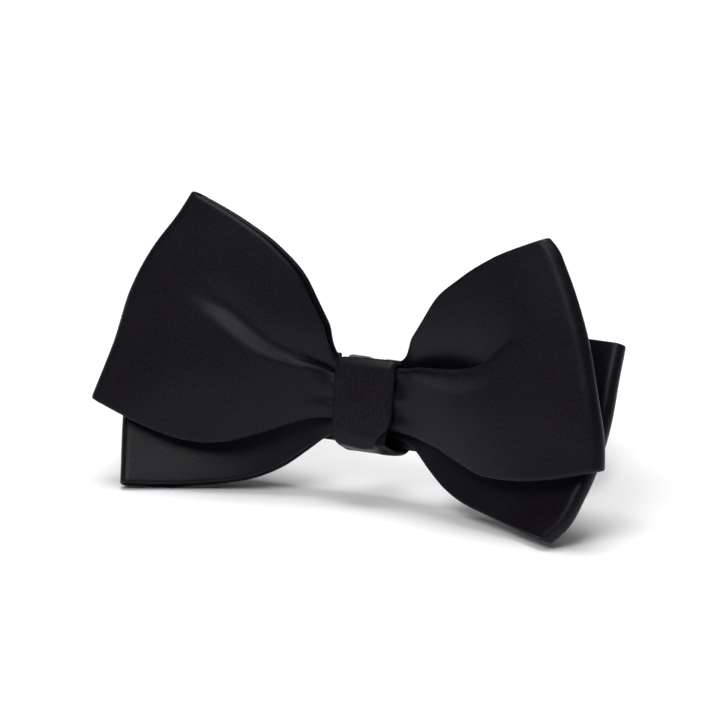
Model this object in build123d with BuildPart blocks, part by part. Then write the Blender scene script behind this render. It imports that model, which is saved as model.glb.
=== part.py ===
from build123d import *
from math import cos, degrees, pi, radians, sin, sqrt
import os

# A pre-tied bow tie: two loop bows stacked inside a knot band, on an adjustable neckband that
# closes with a hook and an eye. Millimetres. +X runs along the bow, +Z is up and the bow faces -Y.
# The origin is the centre of the knot's flat back, which lies against the shirt collar.

os.makedirs("parts", exist_ok=True)

# ---- Driving dimensions ----------------------------------------------------------------------
lean = 10.0                 # the bow leans back by this angle, in degrees

front_ribbon = 61.0         # width of the front bow's ribbon
front_reach = 67.5          # knot centre to the front bow's fold
front_rise = 20.8           # the front wings point up by this angle
back_ribbon = 55.4          # width of the back bow's ribbon
back_reach = 66.9           # knot centre to the back bow's fold
back_rise = -9.2            # the back bow's folds lean outward at the top by this angle
back_drop = 2.5             # the back fold's middle is this far below the knot's middle
panel = 1.6                 # one panel of a bow: satin, interlining and satin
skin = 0.5                  # satin on each side of the interlining
hem = 2.0                   # satin past the interlining at each long edge

knot_width = 18.0
knot_height = 23.0
knot_front = 8.0            # from the middle of the bow forward to the knot's face
knot_back = 7.0             # and back to its flat back
knot_top_slope = 1.3        # the knot's top edge is this much lower at the back
knot_wall = 0.9
lining_wall = 0.4
lining_inset = 2.0          # the lining stops this far inside the wrap's edges
tack_thread = 0.4
tack_gap = 0.25             # slack between a tack and the gathered ribbon's faces
tack_edge_gap = 0.5         # and its long edges, which climb a little between two turns

band_width = 15.0
band_thickness = 1.6
band_middle = -5.4          # the band's middle is this far above the knot's middle
band_left = -50.0           # the straight runs end here on the left
band_right = 14.0           # and here on the right
core_thickness = 0.6
core_margin = 1.5           # cover past the core at each long edge
tunnel_gap = 0.2            # between the band and the knot's lining
bow_gap = 0.3               # between the band and the pieces that it slides past

strap_width = 11.6          # the narrow strap at the back of the neck
strap_thickness = 0.7
fabric_gap = 0.15
bar_gap = 0.05              # between a fitting's bar and the strap round it
sheet = 0.8                 # thickness of the metal fittings
bar_width = 1.4             # a bar of the eye
slot_gap = 0.3              # a slot is longer than the strap by this at each end
eye_length = 8.1
hook_tongue = 6.0           # height of the hook's tongue
hook_clearance = 0.2
hook_pitch = 10.8           # from the eye's catching bar to the hook's end
slide_length = 11.0
joint_gap = 0.3             # between pieces of the strap that move apart

eye_bar_x = -32.5           # middle of the bar that the hook catches
strap_split_x = -14.0       # the hook's loop of strap ends here
slide_x = -7.0              # middle of the slide at rest

thread = 0.3
stitch_length = 1.7
stitch_pitch = 2.6

# ---- The bow's own plane: u to the right, w up and n forward ------------------------------------
up_tilt = cos(radians(lean))
back_tilt = sin(radians(lean))
bow_plane = Plane(
    origin=(0, -knot_back * up_tilt, knot_back * back_tilt),
    x_dir=(1, 0, 0),
    z_dir=(0, -up_tilt, back_tilt),
)


def in_bow(u, w, n):
    """The point of the whole object at u, w, n in the bow's plane."""
    return bow_plane.from_local_coords(Vector(u, w, n))


def bow_direction(u, w, n):
    return in_bow(u, w, n) - bow_plane.origin


def wing_section(place, size):
    """A rounded section across a wing: place is (u, w, n, rise, tilt), size is (height, depth)."""
    u, w, n, rise, tilt = place
    rise, tilt = radians(rise), radians(tilt)
    height, depth = size
    along = bow_direction(cos(rise), sin(rise), 0)
    upward = bow_direction(-sin(rise) * cos(tilt), cos(rise) * cos(tilt), -sin(tilt))
    with BuildSketch(Plane(origin=in_bow(u, w, n), x_dir=upward, z_dir=along)) as section:
        RectangleRounded(height, depth, 0.45 * min(height, depth))
    return section.sketch


def front_place(part_way, n, tilt):
    """A station of the front wing, which runs straight to its fold once it is clear of the knot."""
    turn = min(part_way / 0.28, 1.0)
    rise = radians(front_rise)
    root_w = front_root_w * turn + knot_root_w * (1 - turn)
    along = part_way * front_reach
    return along * cos(rise * turn), root_w + along * sin(rise * turn), n, front_rise * turn, tilt


def back_place(part_way, n, tilt):
    """A station of the back wing, which runs almost level."""
    turn = min(part_way / 0.28, 1.0)
    w = knot_root_w + part_way * (-back_drop - knot_root_w)
    return part_way * back_reach, w, n, back_rise * turn, tilt


knot_root_w = -0.5          # middle of the pinched ribbons inside the knot
front_root_w = -2.6         # the front wing's middle line starts from here
pinch_height = 17.0         # a ribbon is gathered to this height inside the knot

# Stations of a wing: how far along it is, the middle's distance forward, the tilt that brings the
# lower edge forward, the share of the ribbon's width that is spread, and the loop's depth.
front_middle_n = 3.3        # middle of the pinched front bow
front_pinch_depth = 3.8
front_stations = [
    (0.28, 6.7, 2.0, 0.46, 6.0),
    (0.46, 9.3, 3.0, 0.80, 6.4),
    (0.74, 12.4, 5.0, 0.98, 5.6),
    (1.00, 14.5, 5.4, 1.00, 3.6),
]
back_middle_n = -1.6        # middle of the pinched back bow
back_pinch_depth = 3.2
back_stations = [
    (0.28, 0.0, 6.0, 0.50, 4.6),
    (0.46, 0.1, 12.0, 0.79, 5.4),
    (0.74, 1.8, 16.0, 0.95, 5.0),
    (1.00, 7.0, 21.0, 1.00, 3.6),
]
pinch_end = 0.15            # the ribbons stay gathered as far as the knot's side
cavity_start = 0.20         # the two panels part here
cavity_end = 0.965          # and meet again at the fold
cavity_tip = 0.6            # depth of the space at both of its ends
cavity_height = 1.6         # its height as a share of the ribbon, so that it opens at both edges


def all_stations(ribbon, middle_n, depth, spread_stations):
    """A wing's stations with the pinched ones that lie inside the knot put first."""
    pinch = pinch_height / ribbon
    inside = [(0.0, middle_n, 0.0, pinch, depth), (pinch_end, middle_n, 0.0, pinch, depth)]
    return inside + spread_stations


def station_at(stations, part_way):
    """The station at any share of the wing's length, between its two neighbours."""
    for before, after in zip(stations, stations[1:]):
        if part_way <= after[0]:
            share = (part_way - before[0]) / (after[0] - before[0])
            return tuple(a + share * (b - a) for a, b in zip(before, after))
    return stations[-1]


def wing_sections(place_at, ribbon, stations, inset, end_inset):
    """Sections of a solid wing from the knot's middle to its fold, drawn in by the insets."""
    sections = []
    for part_way, n, tilt, spread, depth in stations:
        size = (spread * ribbon - 2 * end_inset, depth - 2 * inset)
        reach = min(part_way, 1.0 - inset / ribbon)
        sections.append(wing_section(place_at(reach, n, tilt), size))
    return sections


def cavity_sections(place_at, ribbon, stations, grow):
    """Sections of the space between a wing's two panels, open at the top and the bottom."""
    height = cavity_height * ribbon
    start, stop = cavity_start, cavity_end + grow / ribbon
    inner = [station for station in stations if start < station[0] < stop]
    sections = []
    for part_way, n, tilt, spread, depth in [station_at(stations, start)] + inner:
        gap = cavity_tip if part_way == start else depth - 2 * panel
        sections.append(wing_section(place_at(part_way, n, tilt), (height, gap + 2 * grow)))
    part_way, n, tilt, spread, depth = station_at(stations, stop)
    sections.append(wing_section(place_at(part_way, n, tilt), (height, cavity_tip + 2 * grow)))
    return sections


# ---- Front bow ---------------------------------------------------------------------------------
front_all = all_stations(front_ribbon, front_middle_n, front_pinch_depth, front_stations)
front_shape = (front_place, front_ribbon, front_all)

with BuildPart() as front_bow_interlining:
    loft(wing_sections(*front_shape, skin, hem), ruled=True)
    loft(cavity_sections(*front_shape, skin), ruled=True, mode=Mode.SUBTRACT)
    mirror(about=Plane.YZ)
front_bow_interlining.part.label = "front_bow_interlining"

with BuildPart() as front_bow_satin:
    loft(wing_sections(*front_shape, 0.0, 0.0), ruled=True)
    loft(cavity_sections(*front_shape, 0.0), ruled=True, mode=Mode.SUBTRACT)
    mirror(about=Plane.YZ)
    add(front_bow_interlining.part, mode=Mode.SUBTRACT)
front_bow_satin.part.label = "front_bow_satin"

# ---- Back bow ----------------------------------------------------------------------------------
back_all = all_stations(back_ribbon, back_middle_n, back_pinch_depth, back_stations)
back_shape = (back_place, back_ribbon, back_all)

with BuildPart() as back_bow_interlining:
    loft(wing_sections(*back_shape, skin, hem), ruled=True)
    loft(cavity_sections(*back_shape, skin), ruled=True, mode=Mode.SUBTRACT)
    mirror(about=Plane.YZ)
back_bow_interlining.part.label = "back_bow_interlining"

with BuildPart() as back_bow_satin:
    loft(wing_sections(*back_shape, 0.0, 0.0), ruled=True)
    loft(cavity_sections(*back_shape, 0.0), ruled=True, mode=Mode.SUBTRACT)
    mirror(about=Plane.YZ)
    add(back_bow_interlining.part, mode=Mode.SUBTRACT)
back_bow_satin.part.label = "back_bow_satin"

# ---- Thread that ties each bow's pleats at its middle --------------------------------------------
def centre_block(width, middle_n, height, depth, middle_w):
    """A plain block across the knot's middle, used for what lies inside the knot."""
    place = (-width / 2, middle_w, middle_n, 0.0, 0.0)
    return extrude(wing_section(place, (height, depth)), amount=width)


def tack_loops(place_at, reach, middle_n, depth):
    """Turns of thread round the right half of a pinched bow, with the middle one cut at the middle."""
    loops = []
    for along in (0.0, tack_pitch):
        place = place_at(along / reach, middle_n, 0.0)
        inner = (pinch_height + 2 * tack_edge_gap, depth + 2 * tack_gap)
        outer = (inner[0] + 2 * tack_thread, inner[1] + 2 * tack_thread)
        turn = wing_section(place, outer) - wing_section(place, inner)
        loops.append(extrude(turn, amount=tack_thread))
    return loops


tack_pitch = 3.0
with BuildPart() as front_bow_tack:
    add(tack_loops(front_place, front_reach, front_middle_n, front_pinch_depth))
    mirror(about=Plane.YZ)
front_bow_tack.part.label = "front_bow_tack"

with BuildPart() as back_bow_tack:
    add(tack_loops(back_place, back_reach, back_middle_n, back_pinch_depth))
    mirror(about=Plane.YZ)
back_bow_tack.part.label = "back_bow_tack"

# ---- Knot: a wrap that closes behind the band ----------------------------------------------------
band_bottom = band_middle - band_width / 2
knot_side_plane = Plane(
    origin=in_bow(knot_width / 2, 0, 0),
    x_dir=bow_direction(0, 0, 1),
    z_dir=(-1, 0, 0),
)
knot_top = knot_height / 2
knot_bottom = band_bottom - bow_gap - lining_wall - knot_wall


def knot_outline(inset, plane=knot_side_plane):
    """The wrap's outline seen from its side, with n forward and w up, drawn in by the inset."""
    corners = [
        (knot_front, knot_top),
        (-knot_back, knot_top - knot_top_slope),
        (-knot_back, knot_bottom),
        (-knot_back + 6.0, knot_bottom),
        (knot_front, -knot_top),
    ]
    with BuildSketch(plane) as outline:
        with BuildLine():
            Polyline(*corners, close=True)
        make_face()
        fillet(outline.vertices(), radius=knot_rounding)
        if inset > 0:
            offset(amount=-inset)
    return outline.sketch


knot_rounding = 1.6
seam_w = -9.0
seam_depth = 0.4
seam_height = 1.2
seam_length = 14.0
back_plane = Plane(origin=(0, 0, 0), x_dir=(-1, 0, 0), z_dir=bow_direction(0, 0, -1))

with BuildPart() as knot_band:
    extrude(knot_outline(0.0) - knot_outline(knot_wall), amount=knot_width)
    with BuildSketch(back_plane) as seam:
        with Locations((0, seam_w)):
            Rectangle(seam_length, seam_height)
    extrude(amount=-seam_depth, mode=Mode.SUBTRACT)
knot_band.part.label = "knot_band"

with BuildPart() as knot_lining:
    lining_plane = knot_side_plane.offset(lining_inset)
    liner = knot_outline(knot_wall, lining_plane) - knot_outline(knot_wall + lining_wall, lining_plane)
    extrude(liner, amount=knot_width - 2 * lining_inset)
knot_lining.part.label = "knot_lining"

padding_back = front_middle_n + front_pinch_depth / 2 + tack_gap + tack_thread
padding_front = knot_front - knot_wall - lining_wall
with BuildPart() as knot_padding:
    middle = (padding_front + padding_back) / 2
    add(centre_block(0.8 * knot_width, middle, 0.7 * knot_height, padding_front - padding_back, 0))
knot_padding.part.label = "knot_padding"

with BuildPart() as knot_seam_stitches:
    with BuildSketch(back_plane.offset(-seam_depth)) as stitches:
        with Locations((0, seam_w)):
            with GridLocations(stitch_pitch, 1.0, 5, 1):
                Rectangle(stitch_length, thread)
    extrude(amount=thread)
knot_seam_stitches.part.label = "knot_seam_stitches"

# ---- Neckband: x to the right, y back from the bow, z up along the bow's w -----------------------
near_run = knot_back - knot_wall - lining_wall - tunnel_gap - band_thickness / 2

# The bow's lowest point is the back fold's lower end. The far run stands on the same level.
fold_n, fold_tilt, fold_depth = back_stations[-1][1], radians(back_stations[-1][2]), back_stations[-1][4]
fold_end = back_ribbon / 2 - fold_depth / 2
foot_w = -back_drop - fold_end * cos(fold_tilt) * cos(radians(back_rise))
foot_n = fold_n + fold_end * sin(fold_tilt)
foot_level = foot_w * up_tilt + foot_n * back_tilt - fold_depth / 2

slide_lift = strap_thickness / 2 + hook_clearance       # strap's middle to the slide's end bars
rail = 1.4                                              # the slide's rails above and below the strap
slide_height = strap_width + 2 * (slot_gap + rail)
slide_bottom = band_middle - slide_height / 2
far_outside = (slide_bottom * up_tilt - foot_level) / back_tilt
far_run = far_outside - slide_lift - sheet
end_radius = (far_run - near_run) / 2


def band_plane(w):
    """A plane across the neckband's height, level with w."""
    return Plane(origin=in_bow(0, w, 0), x_dir=(1, 0, 0), z_dir=bow_direction(0, 1, 0))


def strip(plane, start, stop, middle_b, thickness):
    """A straight piece of strip seen from above, from start to stop along x."""
    with BuildSketch(plane) as piece:
        with Locations(((start + stop) / 2, middle_b)):
            Rectangle(stop - start, thickness)
    return piece.sketch


def band_ring(plane, thickness):
    """The whole neckband seen from above, as a closed ring with two straight runs."""
    middle = ((band_left + band_right) / 2, (near_run + far_run) / 2)
    with BuildSketch(plane) as ring:
        with Locations(middle):
            SlotCenterToCenter(band_right - band_left, 2 * end_radius + thickness)
            SlotCenterToCenter(band_right - band_left, 2 * end_radius - thickness, mode=Mode.SUBTRACT)
    return ring.sketch


eye_left_x = eye_bar_x + bar_width / 2 - eye_length     # the eye's left edge
tab_length = 9.0
tab_thickness = 0.6
tab_fold_x = eye_left_x + bar_width / 2
cover_left_x = tab_fold_x - 3.0                         # the cover ends here, inside the eye's tab
cover_right_x = band_right - 1.5                        # and here, where the narrow strap comes out
strap_pocket = 7.0                                      # length of strap sewn into the cover
opening_length = cover_right_x - cover_left_x
opening_middle = (cover_right_x + cover_left_x) / 2
cover_base = band_plane(band_bottom)
core_base = band_plane(band_bottom + core_margin)
strap_base = band_plane(band_middle - strap_width / 2)
core_setback = 2.0
strap_right_x = cover_right_x + strap_pocket

with BuildPart() as adjuster_strap:
    extrude(strip(strap_base, strap_split_x, band_right, far_run, strap_thickness), amount=strap_width)
    with BuildSketch(strap_base) as turn_in:
        with BuildLine():
            CenterArc(
                (band_right, (near_run + far_run) / 2),
                end_radius,
                90,
                -degrees((strap_right_x - band_right) / end_radius),
            )
        trace(line_width=strap_thickness)
    extrude(amount=strap_width)
adjuster_strap.part.label = "adjuster_strap"

with BuildPart() as neckband_core:
    extrude(band_ring(core_base, core_thickness), amount=band_width - 2 * core_margin)
    with BuildSketch(core_base) as open_end:
        with Locations((opening_middle, far_run)):
            Rectangle(opening_length + 2 * core_setback, 2 * band_thickness)
        with Locations((band_right, far_run - band_thickness)):
            Rectangle(2 * (strap_pocket + core_setback), 4 * band_thickness)
    extrude(amount=band_width, mode=Mode.SUBTRACT)
neckband_core.part.label = "neckband_core"

with BuildPart() as neckband_cover:
    extrude(band_ring(cover_base, band_thickness), amount=band_width)
    extrude(
        strip(cover_base, cover_left_x, cover_right_x, far_run, 2 * band_thickness),
        amount=band_width,
        mode=Mode.SUBTRACT,
    )
    add(neckband_core.part, mode=Mode.SUBTRACT)
    add(adjuster_strap.part, mode=Mode.SUBTRACT)
neckband_cover.part.label = "neckband_cover"

# ---- Stitches: short dashes that lie on a face -------------------------------------------------
def face_plane(x, b, w, outward):
    """A plane on a straight run's face. outward is 1 on the side away from the bow, or -1."""
    return Plane(
        origin=in_bow(x, w, -b),
        x_dir=(outward * -1, 0, 0),
        z_dir=bow_direction(0, 0, -outward),
    )


def stitch_box(plane, length, height):
    """A rectangle of dashes round a sewn patch, as raised thread on the plane."""
    across = max(int((length - stitch_length) / stitch_pitch), 1)
    upright = max(int((height - stitch_length) / stitch_pitch), 1)
    with BuildSketch(plane) as dashes:
        with GridLocations(stitch_pitch, height, across + 1, 2):
            Rectangle(stitch_length, thread)
        with GridLocations(length, stitch_pitch, 2, upright):
            Rectangle(thread, stitch_length)
    return extrude(dashes.sketch, amount=thread)


seam_inset = 2.0
with BuildPart() as adjuster_strap_stitches:
    patch = face_plane(cover_right_x + 0.5 * strap_pocket - 2.6, far_run + band_thickness / 2, band_middle, 1)
    with BuildSketch(patch) as dashes:
        with GridLocations(2.0, stitch_pitch, 1, 4):
            Rectangle(thread, stitch_length)
    extrude(amount=thread)
adjuster_strap_stitches.part.label = "adjuster_strap_stitches"

# ---- Eye, and the tab that folds round its left bar ----------------------------------------------
eye_height = strap_width + 2 * slot_gap + 2 * bar_width
eye_middle_x = eye_left_x + eye_length / 2
eye_plane = face_plane(eye_middle_x, far_run - sheet / 2, band_middle, 1)
with BuildPart() as eye:
    with BuildSketch(eye_plane) as ring:
        RectangleRounded(eye_length, eye_height, bar_width)
        RectangleRounded(
            eye_length - 2 * bar_width, eye_height - 2 * bar_width, bar_width / 2, mode=Mode.SUBTRACT
        )
    extrude(amount=sheet)
    fillet(eye.edges().filter_by(bow_plane.location.z_axis, reverse=True), radius=0.15)
eye.part.label = "eye"

with BuildPart() as eye_tab:
    with BuildSketch(strap_base) as fold:
        with Locations((tab_fold_x - tab_length / 2, far_run)):
            Rectangle(tab_length, band_thickness + 2 * tab_thickness)
        with Locations((tab_fold_x, far_run)):
            Circle(band_thickness / 2 + tab_thickness)
            Circle(band_thickness / 2, mode=Mode.SUBTRACT)
        with Locations((tab_fold_x - tab_length / 2, far_run)):
            Rectangle(tab_length, band_thickness, mode=Mode.SUBTRACT)
    extrude(amount=strap_width)
eye_tab.part.label = "eye_tab"

tab_seam_x = tab_fold_x - tab_length + seam_inset + 1.4
with BuildPart() as eye_tab_stitches:
    tab_face = far_run + band_thickness / 2 + tab_thickness
    add(stitch_box(face_plane(tab_seam_x, tab_face, band_middle, 1), 4.0, strap_width - seam_inset))
eye_tab_stitches.part.label = "eye_tab_stitches"

# ---- Slide: its end bars lie outside the strap and its middle bar inside --------------------------
inner_bar_b = far_run - strap_thickness / 2 - fabric_gap - strap_thickness - bar_gap - sheet / 2
outer_bar_b = far_run + slide_lift + sheet / 2
return_b = inner_bar_b - sheet / 2 - bar_gap - strap_thickness / 2
slide_half = slide_length / 2
end_bar = 1.3
middle_bar = 1.6
slide_base = band_plane(slide_bottom)
with BuildPart() as adjuster_slide:
    with BuildSketch(slide_base) as bowed:
        with BuildLine():
            Polyline(
                (slide_x - slide_half, outer_bar_b),
                (slide_x - slide_half + end_bar + 0.6, outer_bar_b),
                (slide_x - middle_bar / 2 - 0.4, inner_bar_b),
                (slide_x + middle_bar / 2 + 0.4, inner_bar_b),
                (slide_x + slide_half - end_bar - 0.6, outer_bar_b),
                (slide_x + slide_half, outer_bar_b),
            )
        trace(line_width=sheet)
    extrude(amount=slide_height)
    with BuildSketch(face_plane(slide_x, far_outside + sheet, band_middle, 1)) as windows:
        window = slide_half - end_bar - middle_bar / 2
        with GridLocations(window + middle_bar, 0, 2, 1):
            Rectangle(window, strap_width + 2 * slot_gap)
    extrude(amount=-8 * sheet, mode=Mode.SUBTRACT)
    ends = adjuster_slide.edges().filter_by(bow_plane.location.z_axis).group_by(Axis.X)
    fillet(ends[0] + ends[-1], radius=1.0)
adjuster_slide.part.label = "adjuster_slide"

return_left_x = strap_split_x + joint_gap
wrap_b = far_run - strap_thickness / 2 - fabric_gap - strap_thickness / 2
wrap_radius = (wrap_b - return_b) / 2
wrap_x = slide_x + middle_bar / 2 + bar_gap
with BuildPart() as adjuster_return:
    with BuildSketch(strap_base) as turned:
        with BuildLine():
            lower = Line((return_left_x, return_b), (wrap_x, return_b))
            bend = CenterArc((wrap_x, (wrap_b + return_b) / 2), wrap_radius, -90, 180)
            Line(bend @ 1, (slide_x - middle_bar, wrap_b))
        trace(line_width=strap_thickness)
    extrude(amount=strap_width)
adjuster_return.part.label = "adjuster_return"

with BuildPart() as adjuster_return_stitches:
    patch = face_plane(slide_x - 2.6, return_b - strap_thickness / 2, band_middle, -1)
    add(stitch_box(patch, 2.0, strap_width - seam_inset))
adjuster_return_stitches.part.label = "adjuster_return_stitches"

# ---- Hook: a tongue that passes over the eye's bar and leans back inside the eye -------------------
tongue_b = far_run + sheet / 2 + hook_clearance
finger_line = (eye_bar_x - bar_width / 2) + (far_run - sheet / 2) - hook_clearance * sqrt(2)
corner_x = finger_line - tongue_b
finger_drop = 3.0
hook_end_x = eye_bar_x + hook_pitch
hook_bar_b = (far_run - strap_thickness / 2 + return_b + strap_thickness / 2) / 2
jog_start_x = eye_bar_x + bar_width / 2 + 1.6
jog_end_x = jog_start_x + 2.8
with BuildPart() as hook:
    with BuildSketch(slide_base) as side:
        with BuildLine():
            Polyline(
                (corner_x, tongue_b),
                (corner_x + finger_drop, tongue_b - finger_drop),
                (corner_x + finger_drop - sheet / sqrt(2), tongue_b - finger_drop - sheet / sqrt(2)),
                (corner_x - sheet * (1 + sqrt(2)), tongue_b + sheet),
                (jog_start_x + 0.3, tongue_b + sheet),
                (jog_end_x + 0.3, hook_bar_b + sheet / 2),
                (hook_end_x, hook_bar_b + sheet / 2),
                (hook_end_x, hook_bar_b - sheet / 2),
                (jog_end_x, hook_bar_b - sheet / 2),
                (jog_start_x, tongue_b),
                close=True,
            )
        make_face()
    extrude(amount=slide_height)
    with BuildSketch(face_plane(0, far_outside + sheet, band_middle, 1)) as plan:
        with BuildLine():
            Polyline(
                (-corner_x + 3.0, hook_tongue / 2),
                (-jog_start_x, hook_tongue / 2),
                (-jog_end_x, slide_height / 2),
                (-hook_end_x, slide_height / 2),
                (-hook_end_x, -slide_height / 2),
                (-jog_end_x, -slide_height / 2),
                (-jog_start_x, -hook_tongue / 2),
                (-corner_x + 3.0, -hook_tongue / 2),
                close=True,
            )
        make_face()
        with Locations((-hook_end_x + bar_width + 1.3, 0)):
            Rectangle(2.6, strap_width + 2 * slot_gap, mode=Mode.SUBTRACT)
    extrude(amount=-12 * sheet, mode=Mode.INTERSECT)
    ends = hook.edges().filter_by(bow_plane.location.z_axis).group_by(Axis.X)
    fillet(ends[-1], radius=1.0)
    fold = hook.edges().filter_by(bow_plane.location.y_axis).group_by(Axis.X)[0]
    fillet(fold, radius=0.6)
hook.part.label = "hook"

loop_radius = (far_run - return_b) / 2
loop_x = hook_end_x - bar_width + loop_radius - strap_thickness / 2 - 0.15
with BuildPart() as hook_loop:
    with BuildSketch(strap_base) as turned:
        with BuildLine():
            outer = Line((strap_split_x - joint_gap, far_run), (loop_x, far_run))
            bend = CenterArc((loop_x, (far_run + return_b) / 2), loop_radius, 90, 180)
            Line(bend @ 1, (strap_split_x - joint_gap, return_b))
        trace(line_width=strap_thickness)
    extrude(amount=strap_width)
hook_loop.part.label = "hook_loop"

# ---- Blank label on the neckband's inner side ----------------------------------------------------
label_x = -34.0
label_length = 12.0
label_height = 11.0
label_thickness = 0.35
label_plane = face_plane(label_x, near_run + band_thickness / 2, band_middle, 1)
with BuildPart() as size_label:
    with BuildSketch(label_plane):
        RectangleRounded(label_length, label_height, 0.6)
    extrude(amount=label_thickness)
size_label.part.label = "size_label"

with BuildPart() as label_stitches:
    on_label = label_plane.offset(label_thickness)
    add(stitch_box(on_label, label_length - seam_inset, label_height - seam_inset))
label_stitches.part.label = "label_stitches"

pieces = [
    front_bow_satin,
    front_bow_interlining,
    front_bow_tack,
    back_bow_satin,
    back_bow_interlining,
    back_bow_tack,
    knot_band,
    knot_lining,
    knot_padding,
    knot_seam_stitches,
    neckband_cover,
    neckband_core,
    size_label,
    label_stitches,
    adjuster_strap,
    adjuster_strap_stitches,
    adjuster_slide,
    adjuster_return,
    adjuster_return_stitches,
    hook,
    hook_loop,
    eye,
    eye_tab,
    eye_tab_stitches,
]
for piece in pieces:
    export_step(piece.part, f"parts/{piece.part.label}.step")
    print(piece.part.label, len(piece.part.solids()), round(piece.part.volume, 1))
print("neckband loop, mm:", round(2 * (band_right - band_left) + 2 * pi * end_radius, 1))
print("foot level from the origin, mm:", round(foot_level + in_bow(0, 0, 0).Z, 2))
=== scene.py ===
from math import cos, pi, radians, sin

import bmesh
import bpy
import numpy as np
from mathutils import Matrix, Vector, noise


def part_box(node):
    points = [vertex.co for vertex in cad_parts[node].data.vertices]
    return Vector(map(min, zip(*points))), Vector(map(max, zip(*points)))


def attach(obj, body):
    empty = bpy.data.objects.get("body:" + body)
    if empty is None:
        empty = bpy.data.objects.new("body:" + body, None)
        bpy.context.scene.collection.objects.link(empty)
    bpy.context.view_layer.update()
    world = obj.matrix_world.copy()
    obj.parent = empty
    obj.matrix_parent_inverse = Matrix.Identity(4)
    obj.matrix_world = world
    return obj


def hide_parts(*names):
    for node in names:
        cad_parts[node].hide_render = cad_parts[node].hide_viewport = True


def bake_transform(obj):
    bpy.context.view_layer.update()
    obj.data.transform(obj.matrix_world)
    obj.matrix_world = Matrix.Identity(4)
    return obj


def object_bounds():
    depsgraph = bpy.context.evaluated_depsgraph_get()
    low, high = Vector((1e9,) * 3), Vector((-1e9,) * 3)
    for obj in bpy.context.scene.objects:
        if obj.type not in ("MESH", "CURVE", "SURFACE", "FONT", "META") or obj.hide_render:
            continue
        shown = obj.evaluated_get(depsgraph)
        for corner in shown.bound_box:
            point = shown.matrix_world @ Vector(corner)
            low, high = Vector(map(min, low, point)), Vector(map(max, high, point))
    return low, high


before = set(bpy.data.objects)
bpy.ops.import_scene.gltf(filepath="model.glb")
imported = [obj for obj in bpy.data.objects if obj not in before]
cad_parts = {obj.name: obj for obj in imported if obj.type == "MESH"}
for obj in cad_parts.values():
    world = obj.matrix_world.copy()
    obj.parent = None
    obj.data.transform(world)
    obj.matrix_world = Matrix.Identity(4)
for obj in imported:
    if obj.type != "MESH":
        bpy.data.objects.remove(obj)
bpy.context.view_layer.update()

MM = 0.001

# ---- The bow's plane, as in the CAD model: u to the right, w up, n forward, in millimetres ----
LEAN = radians(10.0)
KNOT_BACK = 7.0
U_AXIS = np.array((1.0, 0.0, 0.0))
W_AXIS = np.array((0.0, sin(LEAN), cos(LEAN)))
N_AXIS = np.array((0.0, -cos(LEAN), sin(LEAN)))


def to_world(uwn):
    """Points given as (..., 3) arrays of u, w, n in millimetres, as metres in the row frame."""
    uwn = np.asarray(uwn, dtype=float)
    flat = uwn[..., :1] * U_AXIS + uwn[..., 1:2] * W_AXIS + (uwn[..., 2:3] + KNOT_BACK) * N_AXIS
    return flat * MM


def smooth(x, low, high):
    """0 below low, 1 above high, and an even ease between."""
    t = np.clip((x - low) / (high - low), 0.0, 1.0)
    return t * t * (3 - 2 * t)


def bump(x, middle, width):
    return np.exp(-(((x - middle) / width) ** 2))


def track(t, points):
    """A smooth curve through (place, value) pairs."""
    places, values = zip(*points)
    values = np.array(values, dtype=float)
    places = np.array(places, dtype=float)
    slopes = np.gradient(values, places)
    index = np.clip(np.searchsorted(places, t) - 1, 0, len(places) - 2)
    step = places[index + 1] - places[index]
    x = np.clip((t - places[index]) / step, 0.0, 1.0)
    a, b = values[index], values[index + 1]
    ma, mb = slopes[index] * step, slopes[index + 1] * step
    return (
        (2 * x**3 - 3 * x**2 + 1) * a
        + (x**3 - 2 * x**2 + x) * ma
        + (3 * x**2 - 2 * x**3) * b
        + (x**3 - x**2) * mb
    )


# ---- Meshes -------------------------------------------------------------------------------------
def grid_object(name, points, close_along=False, close_across=False, uv_size=(1.0, 1.0)):
    """A mesh of quads from a 2-D grid of world points, with UVs measured in metres."""
    rows, columns = points.shape[:2]
    mesh = bpy.data.meshes.new(name)
    last_row = rows if close_along else rows - 1
    last_column = columns if close_across else columns - 1
    faces, corners = [], []
    for i in range(last_row):
        for j in range(last_column):
            i2, j2 = (i + 1) % rows, (j + 1) % columns
            faces.append((i * columns + j, i * columns + j2, i2 * columns + j2, i2 * columns + j))
            corners += [(i, j), (i, j + 1), (i + 1, j + 1), (i + 1, j)]
    mesh.from_pydata(points.reshape(-1, 3).tolist(), [], faces)
    layer = mesh.uv_layers.new(name="cloth")
    for loop, (i, j) in zip(layer.data, corners):
        loop.uv = (i / last_row * uv_size[0], j / last_column * uv_size[1])
    mesh.shade_smooth()
    obj = bpy.data.objects.new(name, mesh)
    bpy.context.collection.objects.link(obj)
    return obj


def apply_modifiers(obj):
    """Bakes the modifiers into the mesh."""
    depsgraph = bpy.context.evaluated_depsgraph_get()
    mesh = bpy.data.meshes.new_from_object(obj.evaluated_get(depsgraph))
    obj.modifiers.clear()
    obj.data = mesh


def thicken(obj, thickness, levels=1):
    solid = obj.modifiers.new("thickness", "SOLIDIFY")
    solid.thickness = thickness * MM
    solid.offset = 0.0
    solid.use_rim = True
    if levels:
        rounded = obj.modifiers.new("round", "SUBSURF")
        rounded.levels = levels
        rounded.render_levels = levels
    apply_modifiers(obj)
    obj.data.shade_smooth()


def paint(obj, material):
    obj.data.materials.clear()
    obj.data.materials.append(material)


# ---- Materials ------------------------------------------------------------------------------------
def new_material(name):
    material = bpy.data.materials.new(name)
    material.use_nodes = True
    nodes, links = material.node_tree.nodes, material.node_tree.links
    return material, nodes, links, nodes["Principled BSDF"]


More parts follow.
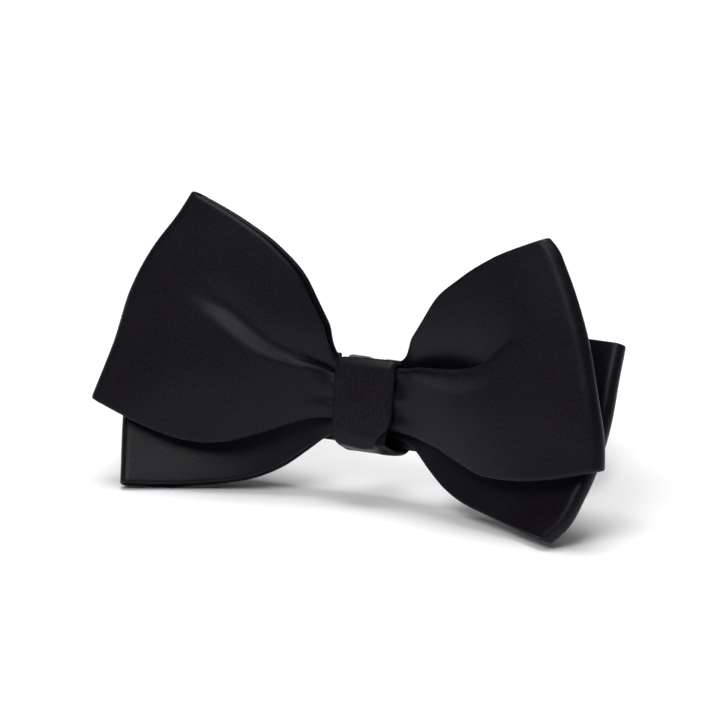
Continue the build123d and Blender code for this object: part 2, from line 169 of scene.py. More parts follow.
def shade_between(nodes, links, factor, dark, light, socket):
    """Mixes two colours by a factor output and sends the result to a socket."""
    ramp = nodes.new("ShaderNodeValToRGB")
    ramp.color_ramp.elements[0].color = (*dark, 1)
    ramp.color_ramp.elements[0].position = 0.36
    ramp.color_ramp.elements[1].position = 0.64
    ramp.color_ramp.elements[1].color = (*light, 1)
    links.new(factor, ramp.inputs["Fac"])
    links.new(ramp.outputs["Color"], socket)


def cloth_material(name, dark, light, roughness, sheen, ribs, rib_height, grain, specular=0.5):
    """Woven cloth: fine ribs across the ribbon, uneven yarn, and a slight change of shade.

    Ribs and grain are counts for each metre of cloth, and the rib height is in millimetres.
    """
    material, nodes, links, surface = new_material(name)
    place = nodes.new("ShaderNodeUVMap")
    place.uv_map = "cloth"
    stretch = nodes.new("ShaderNodeMapping")
    stretch.inputs["Scale"].default_value = (1.0, 0.55, 1.0)
    links.new(place.outputs["UV"], stretch.inputs["Vector"])
    yarn = nodes.new("ShaderNodeTexNoise")
    yarn.inputs["Scale"].default_value = grain
    yarn.inputs["Detail"].default_value = 5.0
    links.new(stretch.outputs["Vector"], yarn.inputs["Vector"])
    weave = nodes.new("ShaderNodeTexWave")
    weave.inputs["Scale"].default_value = ribs
    weave.inputs["Distortion"].default_value = 1.2
    weave.inputs["Detail"].default_value = 2.0
    weave.inputs["Detail Scale"].default_value = 1.5
    links.new(place.outputs["UV"], weave.inputs["Vector"])
    both = nodes.new("ShaderNodeMath")
    both.operation = "ADD"
    links.new(yarn.outputs["Fac"], both.inputs[0])
    links.new(weave.outputs["Fac"], both.inputs[1])
    relief = nodes.new("ShaderNodeBump")
    relief.inputs["Strength"].default_value = 0.35
    relief.inputs["Distance"].default_value = rib_height * MM
    links.new(both.outputs["Value"], relief.inputs["Height"])
    links.new(relief.outputs["Normal"], surface.inputs["Normal"])
    shade_between(nodes, links, yarn.outputs["Fac"], dark, light, surface.inputs["Base Color"])
    surface.inputs["Roughness"].default_value = roughness
    surface.inputs["Specular IOR Level"].default_value = specular
    surface.inputs["Sheen Weight"].default_value = sheen
    surface.inputs["Sheen Roughness"].default_value = 0.35
    surface.inputs["Sheen Tint"].default_value = (0.75, 0.72, 0.85, 1)
    return material


def metal_material(name, colour, roughness):
    """Plated steel with faint brushing and handling marks."""
    material, nodes, links, surface = new_material(name)
    place = nodes.new("ShaderNodeTexCoord")
    stretch = nodes.new("ShaderNodeMapping")
    stretch.inputs["Scale"].default_value = (300.0, 300.0, 4000.0)
    links.new(place.outputs["Object"], stretch.inputs["Vector"])
    brush = nodes.new("ShaderNodeTexNoise")
    brush.inputs["Scale"].default_value = 1.0
    brush.inputs["Detail"].default_value = 4.0
    links.new(stretch.outputs["Vector"], brush.inputs["Vector"])
    marks = nodes.new("ShaderNodeTexNoise")
    marks.inputs["Scale"].default_value = 260.0
    links.new(place.outputs["Object"], marks.inputs["Vector"])
    spread = nodes.new("ShaderNodeMapRange")
    spread.inputs["To Min"].default_value = roughness - 0.08
    spread.inputs["To Max"].default_value = roughness + 0.14
    links.new(marks.outputs["Fac"], spread.inputs["Value"])
    links.new(spread.outputs["Result"], surface.inputs["Roughness"])
    relief = nodes.new("ShaderNodeBump")
    relief.inputs["Strength"].default_value = 0.15
    relief.inputs["Distance"].default_value = 0.02 * MM
    links.new(brush.outputs["Fac"], relief.inputs["Height"])
    links.new(relief.outputs["Normal"], surface.inputs["Normal"])
    lighter = tuple(min(1.0, c * 1.25) for c in colour)
    shade_between(nodes, links, marks.outputs["Fac"], colour, lighter, surface.inputs["Base Color"])
    surface.inputs["Metallic"].default_value = 1.0
    return material


BLACK = (0.0008, 0.0005, 0.0014)
BLACK_LIGHT = (0.0072, 0.0054, 0.0104)
SATIN = (BLACK, BLACK_LIGHT, 0.42, 0.05, 900, 0.02, 2300, 0.15)
bow_satin = cloth_material("bow_satin", *SATIN)
knot_satin = cloth_material("knot_satin", *SATIN)
band_satin = cloth_material("band_satin", *SATIN)
strap_rib = cloth_material(
    "strap_rib", (0.009, 0.008, 0.011), (0.020, 0.019, 0.024), 0.6, 0.1, 330, 0.25, 1800, 0.35
)
# Near-black lining, also given to the knot's padding: partly the lining's own dark colour, partly painted
# shade, so what shows of both below the knot reads as the shaded strip there.
lining_and_painted_shade = cloth_material("lining_and_painted_shade", BLACK, BLACK_LIGHT, 0.75, 0.01, 500, 0.1, 1500, 0.1)
interlining_cloth = cloth_material(
    "interlining", (0.42, 0.41, 0.37), (0.60, 0.59, 0.54), 0.85, 0.1, 500, 0.15, 1500, 0.3
)
label_cloth = cloth_material(
    "label_weave", (0.42, 0.41, 0.39), (0.58, 0.57, 0.54), 0.6, 0.1, 700, 0.12, 2200, 0.4
)
thread = cloth_material("thread", (0.02, 0.018, 0.026), (0.05, 0.047, 0.06), 0.5, 0.1, 1500, 0.05, 4000)
steel = metal_material("steel", (0.46, 0.46, 0.48), 0.26)

# ---- Bows: one closed loop of ribbon each -----------------------------------------------------------
# Values along a wing are (share of its length, value) pairs from the knot's middle to the fold.
FRONT = {
    "reach": 67.0,
    "root_w": -2.6,
    "rise": 20.8,
    "half": [(0, 7.9), (0.13, 8.3), (0.20, 10.3), (0.28, 14.8), (0.37, 19.6), (0.46, 24.4), (0.6, 28.3),
             (0.76, 29.9), (1.0, 30.4)],
    "middle_n": [(0, 3.3), (0.14, 3.8), (0.28, 6.6), (0.46, 9.2), (0.74, 11.8), (1.0, 13.2)],
    "tilt": [(0, 0), (0.28, 2), (0.74, 5), (1.0, 5.4)],
    "depth": [(0, 1.6), (0.14, 1.8), (0.28, 4.4), (0.5, 5.0), (0.8, 4.6), (1.0, 4.0)],
    "crown": [(0, 1.2), (0.14, 1.5), (0.22, 1.0), (0.45, 1.5), (0.75, 1.3), (1.0, 0.3)],
    "gathered_lift": [(0, 1.9), (0.15, 1.9), (0.22, 1.3), (0.32, 0.3), (0.4, 0.0), (1.0, 0.0)],
}
BACK = {
    "reach": 66.9,
    "root_w": -0.5,
    "rise": -2.0,
    "half": [(0, 8.4), (0.13, 8.8), (0.20, 10.2), (0.28, 14.2), (0.37, 18.6), (0.46, 21.6), (0.6, 24.4),
             (0.76, 26.4), (1.0, 27.6)],
    "middle_n": [(0, -1.4), (0.14, -1.3), (0.28, 0.1), (0.46, 0.2), (0.74, 2.4), (1.0, 8.0)],
    "tilt": [(0, 0), (0.28, 6), (0.46, 12), (0.74, 16), (1.0, 20)],
    "depth": [(0, 1.4), (0.14, 1.5), (0.28, 3.0), (0.5, 3.6), (0.8, 3.8), (1.0, 3.6)],
    "crown": [(0, 0.0), (0.2, 0.2), (0.45, 0.6), (0.75, 0.8), (1.0, 0.2)],
    "gathered_lift": [(0, 0.0), (1.0, 0.0)],
}
# The pleat of each wing: its line across the ribbon (-1 lower edge, 1 upper edge), depth in
# millimetres, how sharply it drops, how far it opens above, and how far the lower cloth overhangs.
PLEATS = {
    ("front", 1): {
        "line": [(0, 0.72), (0.16, 0.72), (0.25, 0.46), (0.35, 0.25), (0.48, 0.11), (0.58, 0.11),
                 (0.65, 0.17), (1.0, 0.25)],
        "deep": [(0, 1.5), (0.14, 3.0), (0.25, 5.6), (0.38, 7.0), (0.5, 5.8), (0.62, 2.4), (0.74, 0.4),
                 (1.0, 0.0)],
        "drop": 0.03,
        "ridge": 0.14,
        "open": 0.42,
        "overhang": [(0, 0.0), (0.15, 0.8), (0.3, 2.0), (0.5, 1.9), (0.65, 0.6), (0.75, 0.0), (1.0, 0.0)],
    },
    ("front", -1): {
        "line": [(0, 0.4), (0.14, 0.46), (0.2, 0.44), (0.28, 0.26), (0.37, 0.2), (0.44, 0.17), (0.65, 0.24),
                 (1.0, 0.28)],
        "deep": [(0, 1.0), (0.14, 2.4), (0.25, 3.6), (0.36, 3.4), (0.46, 2.6), (0.56, 2.5), (0.66, 2.1),
                 (0.8, 0.5), (1.0, 0.0)],
        "drop": 0.13,
        "ridge": 0.0,
        "open": 0.26,
        "overhang": [(0, 0.0), (0.15, 0.6), (0.28, 0.8), (0.4, 0.3), (0.55, 0.0), (1.0, 0.0)],
    },
    ("back", 1): {
        "line": [(0, 0.0), (1.0, 0.1)],
        "deep": [(0, 0.3), (0.2, 1.2), (0.4, 1.8), (0.6, 0.8), (0.8, 0.0), (1.0, 0.0)],
        "drop": 0.12,
        "ridge": 0.1,
        "open": 0.3,
        "overhang": [(0, 0.0), (1.0, 0.0)],
    },
}
PLEATS[("back", -1)] = PLEATS[("back", 1)]


# How far each fold's edge stands out beyond a straight one, from the lower corner to the upper one,
# and how much wider each wing spreads on its own side.
FOLD_EDGES = {
    ("front", 1): [(-1, -2.4), (-0.8, -0.9), (-0.4, 0.3), (0.2, 1.0), (0.7, -0.4), (0.9, -1.5), (1, -3.0)],
    ("front", -1): [(-1, 0.8), (-0.5, 2.0), (0.0, 3.9), (0.4, 3.3), (0.75, 1.2), (1, 0.2)],
    ("back", 1): [(-1, -4.4), (-0.85, -1.6), (-0.5, 0.5), (0.2, 0.4), (0.7, -1.7), (1, -3.0)],
    ("back", -1): [(-1, 1.0), (-0.5, 1.8), (0.3, 1.7), (1, 0.6)],
}
SPREAD = {
    ("front", 1): [(0, 0), (0.15, 0.6), (0.3, -0.4), (0.42, -0.4), (0.55, -1.2), (0.8, -0.6), (1, 0.0)],
    ("front", -1): [(0, 0), (0.2, -0.9), (0.3, 0.0), (0.6, 0.4), (1, 0.8)],
    ("back", 1): [(0, 0), (0.4, 0.3), (0.7, -0.8), (1, -0.6)],
    ("back", -1): [(0, 0), (0.4, 0.5), (1, 0.7)],
}


TURN_END = 0.28              # a wing has turned to its own rise by this share of its reach
KNOT_ROOT_W = -0.5           # where the gathered ribbons' middle lies inside the knot
BACK_FOLD_LEAN = radians(9.2)


def wing_points(shape, which, side, t, v, face):
    """Points of one panel of a wing: face is 1 for the front panel, -1 for the rear, 0 between."""
    turn = np.clip(t / TURN_END, 0.0, 1.0)
    rise = np.radians(shape["rise"]) * (np.ones_like(t) if which == "back" else turn)
    edge = track(v, FOLD_EDGES[(which, side)]) * smooth(t, 0.35, 1.0)
    along = t * shape["reach"] + edge
    root = shape["root_w"] * turn + KNOT_ROOT_W * (1 - turn)
    u = along * np.cos(rise)
    w = root + along * np.sin(rise) + track(t, shape["gathered_lift"])
    fold_lean = BACK_FOLD_LEAN * t if which == "back" else -rise
    tilt = np.radians(track(t, shape["tilt"]))
    half = track(t, shape["half"]) + track(t, SPREAD[(which, side)])
    up = np.stack(
        [np.sin(fold_lean) * np.cos(tilt), np.cos(fold_lean) * np.cos(tilt), -np.sin(tilt)], axis=-1
    )
    out = np.stack([np.zeros_like(t), np.sin(tilt), np.cos(tilt)], axis=-1)

    pleat = PLEATS[(which, side)]
    offset = v - track(t, pleat["line"])
    deep = track(t, pleat["deep"])
    above = smooth(offset, -pleat["drop"], pleat["drop"]) * np.exp(-np.clip(offset, 0, 2) / pleat["open"])
    ridge = bump(offset, -2.2 * pleat["drop"], 2.5 * pleat["drop"]) * pleat["ridge"]
    hang = track(t, pleat["overhang"])
    slip = hang * (bump(offset, -1.2 * pleat["drop"], 1.5 * pleat["drop"]))
    slip -= 0.6 * hang * bump(offset, 1.6 * pleat["drop"], 1.5 * pleat["drop"])
    gather = 0.4 * bump(t, 0.14, 0.07) * np.cos(2 * pi * (1.3 * v + 0.13 * side))
    depth = track(t, shape["depth"]) / 2
    crown = track(t, shape["crown"]) * (1 - v**2)
    if face >= 0:
        lift = face * (depth + crown - deep * (above - ridge) + gather)
    else:
        lift = -(depth + 0.5 * crown) + 0.35 * gather - 0.33 * deep * bump(v, 0.15, 0.4)
        slip = 0.0
    middle = np.stack([u, w, track(t, shape["middle_n"])], axis=-1)
    points = middle + (v * half + slip)[..., None] * up + lift[..., None] * out
    points[..., 0] *= side
    return points


def wavy_edges(points, t, v, side, seed):
    """Small, slow unevenness of hand-set cloth, stronger away from the knot."""
    wave = np.zeros(t.shape)
    for index in np.ndindex(t.shape):
        spot = Vector((points[index][0] * 0.045, points[index][1] * 0.045, seed + side * 3.0))
        wave[index] = noise.noise(spot)
    amount = smooth(t, 0.2, 0.6)
    points[..., 2] += 0.9 * wave * amount
    points[..., 1] += 0.5 * wave * amount * np.abs(v) ** 3
    return points


def bow_loop(name, shape, which, cloth, v_share=1.0, seed=1.0, lengthwise=62, across=57):
    """The whole closed ribbon loop: front right, back round the fold, and the same on the left."""
    v_line = np.linspace(-v_share, v_share, across)
    fold_radius = shape["depth"][-1][1] / 2
    flat_end = 1.0 - fold_radius / shape["reach"]
    t_line = flat_end * np.linspace(0.0, 1.0, lengthwise) ** 0.9
    turns = 8
    strips = []
    for side in (1, -1):
        t, v = np.meshgrid(t_line, v_line, indexing="ij")
        front = wing_points(shape, which, side, t, v, 1)
        rear = wing_points(shape, which, side, t, v, -1)
        front = wavy_edges(front, t, v, side, seed)
        rear = wavy_edges(rear, t, v, side, seed)
        middle = (front[-1] + rear[-1]) / 2
        arm = (front[-1] - rear[-1]) / 2
        reach_dir = front[-1] - front[-3]
        reach_dir -= arm * (np.sum(reach_dir * arm, axis=1) / np.sum(arm * arm, axis=1))[:, None]
        reach_dir /= np.linalg.norm(reach_dir, axis=1)[:, None]
        arc = []
        for k in range(1, turns):
            angle = pi * k / turns
            swing = reach_dir * np.linalg.norm(arm, axis=1)[:, None]
            arc.append(middle + arm * cos(angle) + swing * sin(angle))
        wing = np.concatenate([front, np.array(arc), rear[::-1]])
        strips.append(wing if side == 1 else wing[::-1])
    right, left = strips
    # The centre rows are shared, so the loop closes front to front and rear to rear.
    loop = np.concatenate([right, left[1:-1]])
    length = 4 * shape["reach"] * MM
    height = 2 * shape["half"][-1][1] * MM
    obj = grid_object(name, to_world(loop), close_along=True, uv_size=(length, height))
    thicken(obj, cloth, 1)
    return obj


SATIN_PANEL = 1.15
STIFFENER_PANEL = 0.35
STIFFENER_SHARE = 52 / 56    # it stops two rows of the satin's grid short of each long edge
bow_looks = {
    "front": (FRONT, 61.0, 1.0),
    "back": (BACK, 55.4, 9.0),
}
for which, (shape, ribbon, seed) in bow_looks.items():
    satin = bow_loop(f"{which}_bow_ribbon", shape, which, SATIN_PANEL, seed=seed)
    paint(satin, bow_satin)
    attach(satin, "bow")
    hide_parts(f"{which}_bow_satin")
    lining = bow_loop(f"{which}_bow_stiffener", shape, which, STIFFENER_PANEL, STIFFENER_SHARE, seed,
                      across=53)
    paint(lining, interlining_cloth)
    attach(lining, "bow")
    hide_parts(f"{which}_bow_interlining")

# ---- Knot band --------------------------------------------------------------------------------------
KNOT_WIDTH = 18.0
KNOT_OUTLINE = [(8.0, 11.4), (-7.0, 10.1), (-7.0, -14.5), (-1.0, -14.5), (8.0, -11.5)]
KNOT_WALL = 0.9
KNOT_ROUNDING = 2.6


def rounded_loop(corners, radius, per_corner=7, per_side=9):
    """A closed polygon with rounded corners, as a list of evenly read points."""
    corners = [np.array(c, dtype=float) for c in corners]
    result = []
    count = len(corners)
    for index, corner in enumerate(corners):
        before, after = corners[index - 1], corners[(index + 1) % count]
        to_before = (before - corner) / np.linalg.norm(before - corner)
        to_after = (after - corner) / np.linalg.norm(after - corner)
        start, stop = corner + to_before * radius, corner + to_after * radius
        for k in range(per_corner + 1):
            x = k / per_corner
            result.append((1 - x) ** 2 * start + 2 * x * (1 - x) * corner + x**2 * stop)
        following = after - to_after * radius
        for k in range(1, per_side):
            result.append(stop + (following - stop) * k / per_side)
    return np.array(result)


def knot_wrap():
    """The satin wrap with its rolled long edges, a low crown and soft creases towards the bottom."""
    inset = KNOT_WALL / 2
    outline = [(n - np.sign(n) * inset, w - np.sign(w) * inset) for n, w in KNOT_OUTLINE]
    ring = rounded_loop(outline, KNOT_ROUNDING)
    x_line = np.linspace(-1, 1, 31)
    centre = np.array([0.5, -1.0])
    half = KNOT_WIDTH / 2 - inset
    points = np.zeros((len(ring), len(x_line), 3))
    for i, (n, w) in enumerate(ring):
        outward = np.array([n, w]) - centre
        outward /= np.linalg.norm(outward)
        front = smooth(n, 3.0, 7.0)
        low = smooth(-w, 3.5, 13.0)
        for j, x in enumerate(x_line):
            roll = -1.0 * smooth(abs(x), 0.86, 1.0) ** 1.5 + 0.12 * bump(abs(x), 0.84, 0.09)
            crown = 0.8 * (1 - x * x) * front
            crease = front * low * 0.32 * sin(2.1 * w + 2.2 * x) * bump(w, -8.5, 3.2)
            sag = (0.4 * x - 0.15 * bump(x, 0.1, 0.5)) * smooth(w, 5.0, 11.0)
            lift = roll + crown + crease
            u = x * half
            u += low * (0.9 * smooth(-x, -0.6, 1.0) - 4.8 * smooth(x, -0.2, 1.0)) * smooth(n, -6, 2)
            points[i, j] = (u, w + outward[1] * lift + sag, n + outward[0] * lift)
    obj = grid_object("knot_wrap", to_world(points), close_along=True, uv_size=(0.09, 0.018))
    thicken(obj, KNOT_WALL, 1)
    return obj


knot = knot_wrap()
paint(knot, knot_satin)
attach(knot, "bow")
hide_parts("knot_band")

# ---- Strips: the neckband, the narrow strap and the tabs ------------------------------------------
BAND_MIDDLE = -5.4
BAND_WIDTH = 15.0
BAND_THICKNESS = 1.6
STRAP_WIDTH = 11.6
STRAP_THICKNESS = 0.7
NEAR_RUN = 4.7
BAND_LEFT, BAND_RIGHT = -50.0, 14.0
EYE_BAR_X = -32.5
SLIDE_X = -7.0
SPLIT_X = -14.0
HOOK_END_X = EYE_BAR_X + 10.8


def back_distance(node):
    """How far the middle of a node's box lies behind the knot's middle plane, in millimetres."""
    low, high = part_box(node)
    middle = (np.array(low) + np.array(high)) / 2 / MM
    return -float(np.dot(middle - KNOT_BACK * N_AXIS, N_AXIS))


FAR_RUN = back_distance("eye")
END_RADIUS = (FAR_RUN - NEAR_RUN) / 2
RETURN_B = FAR_RUN - 2.45


def even_path(points, step):
    """The same path, read at even steps."""
    points = np.array(points, dtype=float)
    lengths = np.concatenate([[0], np.cumsum(np.linalg.norm(np.diff(points, axis=0), axis=1))])
    count = max(int(lengths[-1] / step), 2)
    where = np.linspace(0, lengths[-1], count + 1)
    return np.stack([np.interp(where, lengths, points[:, k]) for k in range(2)], axis=1)


def arc_points(middle, radius, start, stop, count=24):
    """Points of an arc in x and b, with angles in degrees from +x towards +b."""
    angles = np.radians(np.linspace(start, stop, count + 1))
    return [(middle[0] + radius * cos(a), middle[1] + radius * sin(a)) for a in angles]


def strip(name, path, width, thickness, middle=BAND_MIDDLE, step=0.9, crown=0.0, wave=0.0, seed=0.0):
    """A flat strip swept along a path of (x, b) points, with rounded long edges and closed ends."""
    line = even_path(path, step)
    along = np.gradient(line, axis=0)
    along /= np.linalg.norm(along, axis=1)[:, None]
    side = np.stack([along[:, 1], -along[:, 0]], axis=1)
    half_w, half_t = width / 2, thickness / 2
    section = []
    flat_half = half_w - min(half_t, half_w * 0.2)
    for share in np.linspace(-1, 1, 15):
        section.append((half_t + crown * (1 - share**2), share * flat_half))
    for angle in (60, 30, 0, -30, -60):
        section.append((half_t * sin(radians(angle)), half_w - half_t + half_t * cos(radians(angle))))
    for share in np.linspace(1, -1, 15):
        section.append((-half_t - crown * (1 - share**2), share * flat_half))
    for angle in (-60, -30, 0, 30, 60):
        section.append((half_t * sin(radians(angle)), -half_w + half_t - half_t * cos(radians(angle))))
    points = np.zeros((len(line), len(section), 3))
    for i, (x, b) in enumerate(line):
        for j, (out, w) in enumerate(section):
            ripple = wave * noise.noise(Vector((i * step * 0.08, w * 0.12, seed)))
            place = np.array([x, b]) + side[i] * (out + ripple)
            points[i, j] = (place[0], middle + w, -place[1])
    total = len(line) * step * MM
    obj = grid_object(name, to_world(points), close_across=True, uv_size=(total, 2 * width * MM))
    form = bmesh.new()
    form.from_mesh(obj.data)
    rims = [edge for edge in form.edges if edge.is_boundary]
    bmesh.ops.holes_fill(form, edges=rims, sides=0)
    bmesh.ops.recalc_face_normals(form, faces=form.faces)
    form.to_mesh(obj.data)
    form.free()
    obj.data.shade_smooth()
    return obj


def finish_piece(obj, material, body, slot, *nodes):
    """Paints a piece, lets it ride, and hides the CAD nodes it stands for."""
    paint(obj, material)
    if body:
        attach(obj, body)
    if nodes:
        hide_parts(*nodes)


eye_low, eye_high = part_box("eye")
EYE_LEFT_X = eye_low[0] / MM
TAB_FOLD_X = EYE_LEFT_X + 0.7
COVER_LEFT_X = TAB_FOLD_X - 3.0
COVER_RIGHT_X = BAND_RIGHT - 1.5
ARC_MIDDLE_B = (NEAR_RUN + FAR_RUN) / 2


def band_path(radius_change=0.0, left=COVER_LEFT_X, right=COVER_RIGHT_X):
    """From the eye's tab round the left end, along the near run, round the right end to the strap."""
    radius = END_RADIUS + radius_change
    path = [(left, ARC_MIDDLE_B + radius)]
    path += arc_points((BAND_LEFT, ARC_MIDDLE_B), radius, 90, 270)
    path += arc_points((BAND_RIGHT, ARC_MIDDLE_B), radius, -90, 90)
    return path + [(right, ARC_MIDDLE_B + radius)]


cover = strip("neckband_cover_satin", band_path(), BAND_WIDTH, BAND_THICKNESS - 0.2, crown=0.08,
              wave=0.22, seed=4.0)
finish_piece(cover, band_satin, "neckband", "band_satin", "neckband_cover")
core = strip("neckband_interlining", band_path(0.0, COVER_LEFT_X - 2.0, BAND_RIGHT + 4.0)[:-1], 12.0, 0.5,
             step=2.0)
finish_piece(core, interlining_cloth, "neckband", "interlining", "neckband_core")

# The narrow strap comes out of the cover's end. The part that the hook's loop joins is drawn as its own strip
# and is not attached to a body.
main_strap = strip("narrow_strap", [(SPLIT_X, FAR_RUN), (BAND_RIGHT + 3.5, FAR_RUN - 0.15)], STRAP_WIDTH,
                   STRAP_THICKNESS, wave=0.1, seed=2.0, step=0.6)
finish_piece(main_strap, strap_rib, "neckband", "strap", "adjuster_strap")

loop_radius = (FAR_RUN - RETURN_B) / 2
loop_x = HOOK_END_X - 1.4 + loop_radius - STRAP_THICKNESS / 2 - 0.15
loop_path = [(SPLIT_X, FAR_RUN)]
loop_path += arc_points((loop_x, FAR_RUN - loop_radius), loop_radius, 90, 270)
loop_path += [(SPLIT_X, RETURN_B)]
hook_loop = strip("strap_turn", loop_path, STRAP_WIDTH, STRAP_THICKNESS, step=0.35)
finish_piece(hook_loop, strap_rib, None, "strap", "hook_loop")
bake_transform(hook_loop)

wrap_b = FAR_RUN - 0.85
wrap_radius = (wrap_b - RETURN_B) / 2
wrap_x = SLIDE_X + 0.85
return_path = [(SPLIT_X, RETURN_B)]
return_path += arc_points((wrap_x, RETURN_B + wrap_radius), wrap_radius, -90, 90, 16)
return_path += [(SLIDE_X - 1.6, wrap_b)]
return_strap = strip("strap_return", return_path, STRAP_WIDTH, STRAP_THICKNESS - 0.05, step=0.3)
finish_piece(return_strap, strap_rib, None, "strap", "adjuster_return")
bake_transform(return_strap)

# The eye's tab folds round the left bar and takes in the cover's end.
TAB_THICKNESS = 0.6
tab_half = BAND_THICKNESS / 2 + TAB_THICKNESS / 2
TAB_END_X = TAB_FOLD_X - 9.0
tab_path = [(TAB_END_X, FAR_RUN + tab_half), (TAB_FOLD_X - 2.6, FAR_RUN + tab_half)]
tab_path += arc_points((TAB_FOLD_X, FAR_RUN), 0.8, 75, -75, 12)
tab_path += [(TAB_FOLD_X - 2.6, FAR_RUN - tab_half), (TAB_END_X, FAR_RUN - tab_half)]
tab = strip("eye_tab_strap", tab_path, STRAP_WIDTH, TAB_THICKNESS, step=0.35)
finish_piece(tab, strap_rib, "neckband", "strap", "eye_tab")


# ---- Label and stitches ---------------------------------------------------------------------------
def hemmed_plate(name, middle_x, face_b, size, thickness):
    """A thin soft label on the near run's rear face, a little thicker where its edges are folded over."""
    rows, columns = 22, 18
    points = np.zeros((rows, columns, 3))
    for i, p in enumerate(np.linspace(-1, 1, rows)):
        hem = 0.5 * (smooth(abs(p), 0.80, 0.86) - smooth(abs(p), 0.97, 1.0))
        for j, q in enumerate(np.linspace(-1, 1, columns)):
            x, w = p * size[0] / 2, q * size[1] / 2
            points[i, j] = (middle_x + x, BAND_MIDDLE + w, -(face_b + thickness * (0.75 + hem)))
    obj = grid_object(name, to_world(points), uv_size=(size[0] * MM, size[1] * MM))
    thicken(obj, 0.22, 1)
    return obj


def stitch_run(name, places, material, body, replaced):
    """Short raised threads, each given as (x, b, w, direction, outward) in millimetres."""
    form = bmesh.new()
    for x, b, w, direction, outward in places:
        matrix = Matrix.Identity(4)
        along = U_AXIS if direction == "x" else W_AXIS
        out = -N_AXIS * outward
        across = np.cross(out, along)
        for row in range(3):
            matrix[row][0] = along[row] * 0.95 * MM
            matrix[row][1] = across[row] * 0.17 * MM
            matrix[row][2] = out[row] * 0.2 * MM
            matrix[row][3] = to_world((x, w, -(b + outward * 0.06)))[row]
        bmesh.ops.create_uvsphere(form, u_segments=10, v_segments=8, radius=1.0, matrix=matrix)
    mesh = bpy.data.meshes.new(name)
    form.to_mesh(mesh)
    form.free()
    mesh.uv_layers.new(name="cloth")
    mesh.shade_smooth()
    obj = bpy.data.objects.new(name, mesh)
    bpy.context.collection.objects.link(obj)
    finish_piece(obj, material, body, "thread", replaced)
    return obj


def stitch_frame(x, b, length, height, outward, pitch=2.3):
    """Places of stitches round a rectangle."""
    places = []
    for k in range(int(length / pitch) + 1):
        step = -length / 2 + (k + 0.5) * length / (int(length / pitch) + 1)
        places += [(x + step, b, BAND_MIDDLE + s * height / 2, "x", outward) for s in (1, -1)]
    for k in range(int(height / pitch)):
        step = -height / 2 + (k + 0.5) * height / int(height / pitch)
        places += [(x + s * length / 2, b, BAND_MIDDLE + step, "w", outward) for s in (1, -1)]
    return places


LABEL_X = -34.0
label_b = NEAR_RUN + BAND_THICKNESS / 2
label = hemmed_plate("blank_label", LABEL_X, label_b, (12.0, 11.0), 0.3)
finish_piece(label, label_cloth, "neckband", "label", "size_label")
stitch_run("label_thread", stitch_frame(LABEL_X, label_b + 0.42, 10.4, 9.2, 1), thread, "neckband",
           "label_stitches")
tab_seam_x = TAB_END_X + 3.4
tab_face = FAR_RUN + tab_half + TAB_THICKNESS / 2
stitch_run("tab_thread", stitch_frame(tab_seam_x, tab_face, 4.0, 9.4, 1), thread, "neckband",
           "eye_tab_stitches")
strap_seam = [(COVER_RIGHT_X + 1.2 + s * 1.6, FAR_RUN + 0.84, BAND_MIDDLE + k * 2.4, "w", 1)
              for s in (0, 1) for k in (-2, -1, 0, 1, 2)]
stitch_run("strap_thread", strap_seam, thread, "neckband", "adjuster_strap_stitches")
return_face = RETURN_B - STRAP_THICKNESS / 2
stitch_run("return_thread", stitch_frame(SLIDE_X - 2.6, return_face, 2.0, 9.4, -1), thread, "adjuster",
           "adjuster_return_stitches")
seam_places = [(k * 2.6, KNOT_BACK - 0.18, -9.0 + 0.25 * (-1) ** k, "x", 1) for k in (-2, -1, 0, 1, 2)]
stitch_run("knot_thread", seam_places, thread, "bow", "knot_seam_stitches")

# ---- CAD nodes that stay: metal fittings and what is inside the knot -----------------------------------
kept_nodes = {
    steel: ("eye", "hook", "adjuster_slide"),
    # The knot's lining and padding take the near-black lining colour, a painted shade where they show below
    # the knot.
    lining_and_painted_shade: ("knot_lining", "knot_padding"),
    thread: ("front_bow_tack", "back_bow_tack"),
}
for material, nodes in kept_nodes.items():
    for node in nodes:
        paint(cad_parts[node], material)

# ---- Floor, light and camera ---------------------------------------------------------------------------
floor_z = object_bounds()[0][2]


def stage_floor():
    mesh = bpy.data.meshes.new("floor")
    size = 3.0
    corners = [(-size, -size, floor_z), (size, -size, floor_z), (size, size, floor_z), (-size, size, floor_z)]
    mesh.from_pydata(corners, [], [(0, 1, 2, 3)])
    obj = bpy.data.objects.new("floor", mesh)
    bpy.context.collection.objects.link(obj)
    material, _, _, surface = new_material("floor_white")
    surface.inputs["Base Color"].default_value = (0.92, 0.92, 0.93, 1)
    surface.inputs["Roughness"].default_value = 0.9
    surface.inputs["Specular IOR Level"].default_value = 0.1
    obj.data.materials.append(material)


def area_light(name, place, target, size, power):
    data = bpy.data.lights.new(name, "AREA")
    data.shape = "RECTANGLE"
    data.size, data.size_y = size
    data.energy = power
    obj = bpy.data.objects.new(name, data)
    bpy.context.collection.objects.link(obj)
    obj.location = place
    direction = Vector(target) - Vector(place)
    obj.rotation_euler = direction.to_track_quat("-Z", "Y").to_euler()


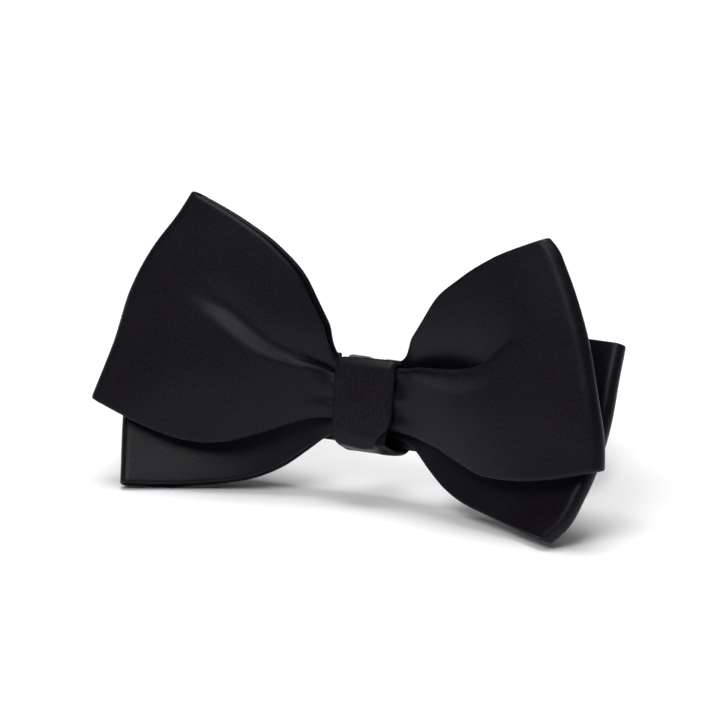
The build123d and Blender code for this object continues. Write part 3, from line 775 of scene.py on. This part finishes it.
stage_floor()
area_light("overhead", (0.0, 0.25, 2.4), (0, 0.2, 0), (1.4, 1.2), 40.0)
area_light("ceiling", (0.0, 0.6, 4.0), (0, 0.6, 0), (6.0, 6.0), 80.0)
area_light("front_key", (-0.1, -1.15, 1.25), (0, 0.05, 0), (0.9, 0.7), 15.0)

world = bpy.data.worlds.new("studio")
world.use_nodes = True
world_nodes, world_links = world.node_tree.nodes, world.node_tree.links
# The background looks pale behind the floor, but gives the object only a little light.
pale = world_nodes["Background"]
pale.inputs["Color"].default_value = (0.95, 0.96, 1.0, 1)
dim = world_nodes.new("ShaderNodeBackground")
dim.inputs["Color"].default_value = pale.inputs["Color"].default_value
dim.inputs["Strength"].default_value = 0.06
pale.inputs["Strength"].default_value = 0.95
ray = world_nodes.new("ShaderNodeLightPath")
chosen = world_nodes.new("ShaderNodeMixShader")
world_links.new(ray.outputs["Is Camera Ray"], chosen.inputs["Fac"])
world_links.new(dim.outputs["Background"], chosen.inputs[1])
world_links.new(pale.outputs["Background"], chosen.inputs[2])
world_links.new(chosen.outputs["Shader"], world_nodes["World Output"].inputs["Surface"])
bpy.context.scene.world = world
bpy.context.scene.view_settings.view_transform = "Standard"

AZIMUTH, ELEVATION = radians(25.2), radians(16.0)
CAMERA_DISTANCE = 1.0506
right = Vector((cos(AZIMUTH), sin(AZIMUTH), 0))
toward = Vector((sin(AZIMUTH) * cos(ELEVATION), -cos(AZIMUTH) * cos(ELEVATION), sin(ELEVATION)))
upward = toward.cross(right)
knot_middle = Vector(to_world((0, 0, 0)).tolist())
target = knot_middle + right * (-3.76 * MM) + upward * (10.4 * MM)
camera_data = bpy.data.cameras.new("camera")
camera_data.lens = 200
camera_data.sensor_width = 36
camera_data.clip_start = 0.05
camera = bpy.data.objects.new("camera", camera_data)
bpy.context.collection.objects.link(camera)
camera.location = target + toward * CAMERA_DISTANCE
camera.rotation_euler = (target - camera.location).to_track_quat("-Z", "Y").to_euler()
bpy.context.scene.camera = camera
